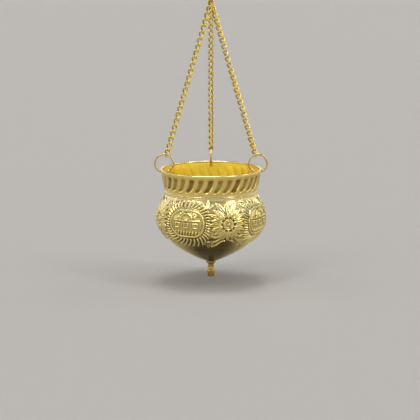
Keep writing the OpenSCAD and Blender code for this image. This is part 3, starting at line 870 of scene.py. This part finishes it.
def neck():
    line = neck_line()
    inner = (line - NECK_WALL * outward(line))[::-1]
    bead = arc(np.array([RIM_D / 2 - RIM_BEAD / 2, 0.0]), RIM_BEAD / 2, RIM_BEAD_START, 180, RIM_BEAD_ROWS)
    lip_foot = SEAM + BRAZE_GAP / 2
    lip = np.array([
        [LIP_R - NECK_WALL, inner[-1, 1]],
        [LIP_R - NECK_WALL, lip_foot],
        [LIP_R, lip_foot],
        [LIP_R, NECK_FOOT_Z],
    ])
    phi = round_angles(NECK_COLUMNS)
    lift = FLUTE_DEPTH * np.concatenate([
        FLUTE_RISE - scoops(line[:, 1], phi),
        np.zeros((len(bead), NECK_COLUMNS)),
        FLUTE_THROUGH * scoops(inner[:, 1], phi),
        np.zeros((len(lip), NECK_COLUMNS)),
    ])
    outline = np.concatenate([line, bead, inner, lip])
    out = np.concatenate([outward(line), np.zeros_like(bead), outward(inner), np.zeros_like(lip)])
    radius, height = outline[:, :1] + lift * out[:, :1], outline[:, 1:] + lift * out[:, 1:]
    piece = turned("fluted_neck", radius, RIM_Z + height, sharp=65)
    bead_row, inner_row = len(line) - 1, len(line) + len(bead)
    end_row = inner_row + len(inner)
    rows, drop = np.arange(end_row), -outline[:end_row, 1]
    on_bead = ((rows > bead_row) & (rows < inner_row))[:, None]
    # Painted shade along the crevices under the rim's bead and at the neck's foot
    edge_shade = crevice(drop, RIM_BEAD / 2, RIM_CREVICE_W) + crevice(drop, -NECK_FOOT_Z, NECK_FOOT_CREVICE_W)
    # Painted shade round the holes, outside and inside the neck, joined with the crevices' painted shade
    dark = np.maximum(((rows <= bead_row) * edge_shade)[:, None], ~on_bead * hole_shade(drop, phi))
    relief = FLUTE_CONTRAST * lift[:end_row] * (rows < inner_row)[:, None]
    # The rim's bead gets a painted highlight
    chased_values(piece, len(lift), relief, NECK_REACH, dark, EDGE_HIGHLIGHT * on_bead)
    paint(piece, NECK_COLUMNS, NECK, (BODY, bead_row, inner_row), (INSIDE_GLOW, inner_row, end_row))
    drill_ring_holes(piece)
    place(piece, "vessel", "body_brass", "neck_collar")


def hole_shade(drop, phi):
    """Painted shade of the neck round the holes that the rim rings pass through."""
    facing = np.array(HOLE_SIDES) @ np.stack([np.sin(phi), -np.cos(phi)])
    across = RIM_D / 2 * np.arccos(np.clip(facing.max(0), -1, 1))
    away = np.hypot(across[None, :], (drop - HOLE_DROP)[:, None])
    return HOLE_SHADE * smooth(away, HOLE_SHADE_R, HOLE_D / 2)


def drill_ring_holes(piece):
    """Cuts the three holes that the rim rings pass through, and takes the drill away."""
    points, faces = [], []
    for across, forward in HOLE_SIDES:
        reaches = np.linspace(LIP_R, RIM_D / 2, 3)[:, None]
        line = reaches * [across, forward, 0] + [0, 0, RIM_Z - HOLE_DROP]
        skin, quads = tube(line, HOLE_D / 2, DRILL_CORNER, DRILL_SIDES, False)
        faces += [[len(points) + k for k in quad] for quad in quads]
        points += skin.tolist()
    drill = mesh_piece("drill", points, faces)
    cut = piece.modifiers.new("ring_holes", "BOOLEAN")
    cut.operation, cut.object, cut.solver = "DIFFERENCE", drill, "EXACT"
    depsgraph = bpy.context.evaluated_depsgraph_get()
    mesh = bpy.data.meshes.new_from_object(piece.evaluated_get(depsgraph))
    piece.modifiers.clear()
    piece.data = mesh
    bpy.data.objects.remove(drill)


def joint_band():
    bead_r, inside = BAND_H / 4, WAIST_D / 2 - BAND_T
    bead_at = WAIST_D / 2 + BAND_BEAD_OUT - bead_r
    beads = [
        arc(np.array([bead_at, z]), bead_r, -BAND_BEAD_ARC, BAND_BEAD_ARC, 14) for z in (bead_r, 3 * bead_r)
    ]
    outline = np.concatenate([[[inside, 0]], *beads, [[inside, BAND_H]]])
    piece = turned_outline("joint_band_beads", outline, RIM_Z - WAIST_DROP, columns=240, sharp=60)
    # A painted highlight all over the joint band
    point_values(piece, "wear_and_highlight", np.full(len(piece.data.vertices), EDGE_HIGHLIGHT))
    shade(piece, BODY, "vessel", "body_brass", "joint_band")


def spout():
    """The drip spout, drawn from the top of its shank down to its tip, with heights from the seat."""
    bore_r, shank_r = BORE_D / 2, SHANK_D / 2
    flange_r, waist_r = shank_r + FLANGE_LIP, bore_r + SPOUT_WAIST_WALL
    cove_r, bead_r = flange_r - FLANGE_T / 2, DRIP_BEAD_H / 2
    bead_in_r, tip_round = DRIP_BEAD_D / 2 - bead_r, (TIP_D - GROOVE_D) / 2
    waist_z = -FLANGE_T - COVE_L
    bead_z = waist_z - FLARE_L
    groove_z = bead_z - DRIP_BEAD_H
    tip_z, end_z, top_z = groove_z - GROOVE_H, SPOUT_LOW[2] - SEAT_Z, SPOUT_HIGH[2] - SEAT_Z
    chamfer = SHANK_WALL / 3
    cove = bezier([
        [cove_r, -FLANGE_T],
        [waist_r, -FLANGE_T],
        [waist_r, -FLANGE_T - COVE_L / 2],
        [waist_r, waist_z],
    ], 12)
    flare = bezier([
        [waist_r, waist_z],
        [waist_r, waist_z - FLARE_L / 2],
        [bead_in_r, bead_z + FLARE_L / 3],
        [bead_in_r, bead_z],
    ], 14)
    downward = np.concatenate([
        [[bore_r, top_z], [shank_r - chamfer, top_z], [shank_r, top_z - chamfer], [shank_r, 0]],
        arc(np.array([cove_r, -FLANGE_T / 2]), FLANGE_T / 2, 90, -90, 18),
        cove[1:],
        flare[1:],
        arc(np.array([bead_in_r, bead_z - bead_r]), bead_r, DRIP_BEAD_ARC, -DRIP_BEAD_ARC, 14),
        [[GROOVE_D / 2, groove_z], [GROOVE_D / 2, tip_z], [TIP_D / 2, tip_z]],
        arc(np.array([TIP_D / 2 - tip_round, end_z + tip_round]), tip_round, 0, -90, 8),
        [[bore_r, end_z]],
    ])
    piece = turned_outline("drip_spout", downward[::-1], SEAT_Z, columns=96, sharp=35)
    shade(piece, SPOUT_SHADED, "vessel", "spout_brass", "spout")


def spout_seal():
    low, high = (np.array(c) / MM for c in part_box("spout_seal"))
    inside, outside, thick = SHANK_D / 2 + SHANK_GAP, SEAL_D / 2, high[2] - low[2]
    corner = thick / 4
    outline = np.concatenate([
        [[inside, 0]],
        arc(np.array([outside - corner, corner]), corner, -90, 0, 5),
        arc(np.array([outside - corner, thick - corner]), corner, 0, 90, 5),
        [[inside, thick]],
    ])
    piece = turned_outline("spout_washer", outline, low[2], columns=72)
    shade(piece, WASHER, "vessel", "washer", "spout_seal")


def spout_nut():
    """A hexagon nut with its corners turned off at the top and a countersunk bore."""
    low, high = (np.array(c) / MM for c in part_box("spout_nut"))
    tall, bore = high[2] - low[2], SHANK_D / 2 + SHANK_GAP
    phi = np.degrees(round_angles(144))
    hexagon = (NUT_AF / 2 / np.cos(np.radians((phi + 30) % 60 - 30)))[None, :]
    steps = np.linspace(0, 1, 6)[:, None]
    cone_r = NUT_CORNER_R - (NUT_CORNER_R - NUT_AF / 2) * steps
    cone_z = tall - NUT_CHAMFER * (1 - steps)
    grid = np.ones((1, len(phi)))
    radius = np.concatenate([
        bore * grid, hexagon, np.minimum(hexagon, cone_r), (bore + NUT_COUNTERSINK) * grid, bore * grid
    ])
    height = np.concatenate([
        0 * grid, 0 * grid, cone_z * grid, tall * grid, (tall - NUT_COUNTERSINK) * grid
    ])
    piece = turned("spout_hexagon_nut", radius, low[2] + height, sharp=25)
    shade(piece, SPOUT_SHADED, "vessel", "spout_brass", "spout_nut")


# Wire parts

def wire_ring(name, node_name, axis, body, seam):
    """A ring bent from wire, with the seam where its two ends meet at an angle in degrees."""
    low, high = (np.array(c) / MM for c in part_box(node_name))
    centre, axis = (low + high) / 2, np.array(axis, float)
    r = (high - low).max() / 2 - RING_WIRE / 2
    upward = np.array([0.0, 0.0, 1.0])
    sideways = np.cross(upward, axis)
    gap = math.degrees(RING_SEAM / 2 / r)
    first, last = seam + gap, seam + 360 - gap
    turn = np.radians(np.concatenate([
        [first, first + RING_EASE_TURN],
        np.linspace(first + RING_PLAIN_TURN, last - RING_PLAIN_TURN, RING_POINTS),
        [last - RING_EASE_TURN, last],
    ]))
    out = np.cos(turn)[:, None] * sideways + np.sin(turn)[:, None] * upward
    radius = np.full(len(turn), RING_WIRE / 2)
    radius[[0, -1]] -= RING_END_EASE
    points, faces = tube(centre + r * out, radius, out, RING_SIDES, False)
    piece = mesh_piece(name, points, faces, sharp=40)
    shade(piece, RING, body, "ring_brass", node_name)


def link_points(centre, up, wide):
    """The centre line of one twisted link and the outward direction along it."""
    a, s = (LINK_IN_W + LINK_WIRE) / 2, LINK_IN_L - LINK_IN_W
    side = np.linspace(-s / 2, s / 2, LINK_SIDE_POINTS, endpoint=False)
    bend = np.linspace(0, np.pi, LINK_BEND_POINTS, endpoint=False)
    half = np.concatenate([
        np.stack([np.full_like(side, a), side, np.ones_like(side), np.zeros_like(side)], 1),
        np.stack([a * np.cos(bend), s / 2 + a * np.sin(bend), np.cos(bend), np.sin(bend)], 1),
    ])
    across, rise, out_across, out_up = np.concatenate([half, -half]).T[:, :, None]
    twist = np.radians(LINK_TWIST) * np.sin(np.pi / 2 * rise / (s / 2 + a))
    face = np.cos(twist) * wide + np.sin(twist) * np.cross(up, wide)
    return centre + across * face + rise * up, out_across * face + out_up * up


def chain(side, seat_y, ring_axis, turns):
    """One curb chain between the rings, as its top link, its run and its bottom link."""
    hang_low, hang_high = (np.array(c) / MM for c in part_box("hanging_ring"))
    rim_low, rim_high = (np.array(c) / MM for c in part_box(side + "_rim_ring"))
    hang, eye, axis = (hang_low + hang_high) / 2, (rim_low + rim_high) / 2, np.array(ring_axis, float)
    hang_r = (hang_high - hang_low)[2] / 2 - RING_WIRE / 2
    rim_r = (rim_high - rim_low)[2] / 2 - RING_WIRE / 2
    top = np.array([0, seat_y, hang[2] - math.sqrt(hang_r ** 2 - seat_y ** 2)])
    pull = top - eye
    foot = eye + rim_r * unit(pull - (pull @ axis) * axis)
    up = unit(top - foot)
    reach = RING_WIRE / 2 + RING_GAP - LINK_IN_L / 2
    first, last = top + reach * up, foot - reach * up
    front = unit(np.cross([0, 1, 0], up))
    deep = np.cross(up, front)
    # Painted shade on the inner side of each link's wire, where the links crowd each other
    inward = smooth(-np.cos(round_angles(LINK_SIDES)), *LINK_INWARD)
    runs = {"_chain_top_link": [0], "_chain": range(1, LINKS - 1), "_chain_bottom_link": [LINKS - 1]}
    for ending, members in runs.items():
        points, faces, patina_and_shade = [], [], []
        for i in members:
            t = i / (LINKS - 1)
            turn = math.radians(turns[0] + (turns[1] - turns[0]) * t)
            wide = math.cos(turn) * front + math.sin(turn) * deep
            line, out = link_points(first + (last - first) * t, up, wide)
            skin, quads = tube(line, LINK_WIRE / 2, out, LINK_SIDES, True)
            faces += (np.array(quads) + len(points)).tolist()
            points += skin.tolist()
            patina_and_shade.append(np.tile(LINK_INNER_SHADE * inward, len(line)))
        piece = mesh_piece(side + ending + "_smooth", points, faces)
        point_values(piece, "patina_and_shade", np.concatenate(patina_and_shade))
        shade(piece, CHAIN, "vessel", "chain_brass", side + ending)


def ball_points():
    """Points and faces of a ball of radius 1, with small flat caps at its poles."""
    rise = np.linspace(BALL_POLE, np.pi - BALL_POLE, BALL_ROWS)[:, None]
    phi = round_angles(HOOK_SIDES)
    x, y, z = np.broadcast_arrays(np.sin(rise) * np.sin(phi), -np.sin(rise) * np.cos(phi), -np.cos(rise))
    top_row = (BALL_ROWS - 1) * HOOK_SIDES
    caps = [list(range(HOOK_SIDES))[::-1], list(range(top_row, top_row + HOOK_SIDES))]
    return np.stack([x, y, z], -1).reshape(-1, 3), grid_faces(BALL_ROWS, HOOK_SIDES, False) + caps


def hook():
    """An S-hook: two bends, a leaning shank between them and a ball at each end."""
    r = (HOOK_BEND_D + HOOK_WIRE) / 2
    lean = math.degrees(math.asin(2 * r / HOOK_SPAN))
    upper = np.array([0, -HOOK_BEND_D / 2])
    bend = arc(upper, r, 180 + HOOK_OVER, -lean, HOOK_BEND_POINTS)
    middle = upper - [0, HOOK_SPAN / 2]
    shares = np.linspace(HOOK_SHANK_FIRST, 1, HOOK_SHANK_POINTS)[:, None]
    half = np.concatenate([bend, bend[-1] + (middle - bend[-1]) * shares])
    line = np.concatenate([half, (2 * middle - half)[-2::-1]])
    points = np.stack([line[:, 0], np.zeros(len(line)), line[:, 1]], 1)
    s, bend_l = lengths(points), lengths(bend)[-1]
    drawn = smooth(np.minimum(s, s[-1] - s), bend_l + HOOK_DRAWN_FROM, bend_l + HOOK_DRAWN_FULL)
    skin, faces = tube(points, HOOK_WIRE / 2 - HOOK_DRAWN / 2 * drawn, (0, 1, 0), HOOK_SIDES, False)
    skin = skin.tolist()
    ball, ball_faces = ball_points()
    for end in (points[0], points[-1]):
        faces += [[len(skin) + k for k in face] for face in ball_faces]
        skin += (end + HOOK_BALL_D / 2 * ball).tolist()
    piece = mesh_piece("s_hook", skin, faces, sharp=40)
    shade(piece, HOOK, "hook", "hook_brass", "hook")


bowl()
neck()
joint_band()
spout()
spout_seal()
spout_nut()
hook()
wire_ring("hanging_wire_ring", "hanging_ring", (1, 0, 0), "hanging_ring", 150)
wire_ring("left_wire_ring", "left_rim_ring", (0, 1, 0), "left_rim_ring", 200)
wire_ring("right_wire_ring", "right_rim_ring", (0, 1, 0), "right_rim_ring", 20)
wire_ring("rear_wire_ring", "rear_rim_ring", (1, 0, 0), "rear_rim_ring", 200)
for chain_side, chain_values in CHAINS.items():
    chain(chain_side, **chain_values)


# Stage in metres: pale floor, soft light and camera

FLOOR_Z = -0.355
FLOOR_HALF = 12.0
FLOOR_COLOUR = (0.40, 0.385, 0.37, 1)
FLOOR_ROUGHNESS = 0.9
CAMERA_ELEVATION = 10.3
CAMERA_DISTANCE = 1.8
FRAME_WIDTH = 0.4315
LOOK_AT = Vector((-0.001, 0, -0.2793))
SENSOR = 36.0

# Soft glows of the studio: azimuth from the front towards +X and elevation in degrees,
# where the full glow ends and where it has faded, and its radiance
GLOWS = (
    (0, 88, 8, 17, 7.0),
    (-42, 38, 2, 7, 7.0),
    (-42, 50, 2, 7, 7.0),
    (-42, 62, 2, 7, 7.0),
    (-42, 50, 8, 26, 0.8),
    (60, 36, 2, 7, 7.0),
    (60, 47, 2, 7, 7.0),
    (60, 58, 2, 7, 7.0),
    (60, 47, 8, 26, 0.6),
    (8, 62, 1.5, 4.5, 8.0),
    (-100, 45, 2, 6, 8.0),
    (115, 42, 2, 6, 8.0),
    (-65, 30, 1.5, 4.5, 6.0),
    (85, 28, 1.5, 4.5, 6.0),
    (180, 50, 3, 8, 4.0),
    (-105, 45, 10, 34, 0.4),
    (120, 42, 10, 34, 0.4),
    (8, 52, 6, 22, 0.35),
)
LIGHT_COLOUR = (1.0, 0.99, 0.97, 1)
# Radiance all round and what the horizon adds to it, which fades out between two elevations
AMBIENT = 0.08
HORIZON = 0.92
HORIZON_TOP = 14
HORIZON_END = 30


def floor():
    mesh = bpy.data.meshes.new("floor")
    corners = [(-1, -1), (1, -1), (1, 1), (-1, 1)]
    mesh.from_pydata([(FLOOR_HALF * x, FLOOR_HALF * y, FLOOR_Z) for x, y in corners], [], [(0, 1, 2, 3)])
    plane = bpy.data.objects.new("floor", mesh)
    bpy.context.scene.collection.objects.link(plane)
    material = bpy.data.materials.new("pale_floor")
    material.use_nodes = True
    surface = material.node_tree.nodes["Principled BSDF"]
    surface.inputs["Base Color"].default_value = FLOOR_COLOUR
    surface.inputs["Roughness"].default_value = FLOOR_ROUGHNESS
    mesh.materials.append(material)


def world():
    """Dim light with a pale horizon and soft glows in it, like lamps behind wide diffusers."""
    made = bpy.data.worlds.new("studio")
    bpy.context.scene.world = made
    made.use_nodes = True
    tree = made.node_tree
    direction = tree.nodes.new("ShaderNodeTexCoord").outputs["Generated"]
    height = node(tree, "ShaderNodeSeparateXYZ")
    tree.links.new(direction, height.inputs["Vector"])
    low, high = (math.sin(math.radians(e)) for e in (HORIZON_TOP, HORIZON_END))
    total = ramp(tree, height.outputs["Z"], low, high, AMBIENT + HORIZON, AMBIENT)
    total.node.interpolation_type = "SMOOTHSTEP"
    for azimuth, elevation, core, edge, radiance in GLOWS:
        a, e = math.radians(azimuth), math.radians(elevation)
        near = tree.nodes.new("ShaderNodeVectorMath")
        near.operation = "DOT_PRODUCT"
        near.inputs[1].default_value = (
            math.sin(a) * math.cos(e), -math.cos(a) * math.cos(e), math.sin(e)
        )
        tree.links.new(direction, near.inputs[0])
        low, high = math.cos(math.radians(edge)), math.cos(math.radians(core))
        glow = ramp(tree, near.outputs["Value"], low, high, 0.0, radiance)
        glow.node.interpolation_type = "SMOOTHSTEP"
        joined = tree.nodes.new("ShaderNodeMath")
        tree.links.new(total, joined.inputs[0])
        tree.links.new(glow, joined.inputs[1])
        total = joined.outputs["Value"]
    tree.links.new(total, tree.nodes["Background"].inputs["Strength"])
    tree.nodes["Background"].inputs["Color"].default_value = LIGHT_COLOUR


def camera():
    data = bpy.data.cameras.new("camera")
    data.sensor_width, data.lens = SENSOR, SENSOR * CAMERA_DISTANCE / FRAME_WIDTH
    made = bpy.data.objects.new("camera", data)
    e = math.radians(CAMERA_ELEVATION)
    made.location = LOOK_AT + CAMERA_DISTANCE * Vector((0, -math.cos(e), math.sin(e)))
    made.rotation_euler = (LOOK_AT - made.location).to_track_quat("-Z", "Y").to_euler()
    bpy.context.scene.collection.objects.link(made)
    bpy.context.scene.camera = made


floor()
world()
camera()
bpy.context.scene.view_settings.view_transform = "Standard"
